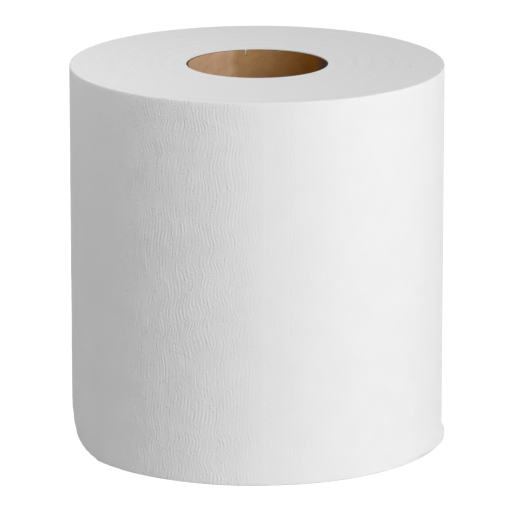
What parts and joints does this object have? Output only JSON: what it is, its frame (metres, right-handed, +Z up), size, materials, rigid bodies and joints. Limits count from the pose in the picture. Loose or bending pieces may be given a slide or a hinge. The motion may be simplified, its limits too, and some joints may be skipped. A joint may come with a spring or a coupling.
{
  "type": "center pull paper towel roll",
  "caption": "Standing roll of white creped paper towel wound on an open brown cardboard tube, with a loose torn tail, perforated sheets and a through bore for a dispenser's spindle.",
  "frame": {"origin": "middle of the base, on the core's axis", "axes": "+Z up along the core's axis, -Y towards the front, where the loose tail ends, and +X to the right seen from the front"},
  "size_m": [0.1986, 0.1978, 0.2032],
  "materials": {
    "towel_paper": "matte white two-ply tissue with a fine wavy crepe",
    "core_board": "matte brown kraft board with faint lengthwise fibres"
  },
  "bodies": {
    "root": {"towel_roll": "towel_paper", "cardboard_core": "core_board"}
  },
  "joints": []
}
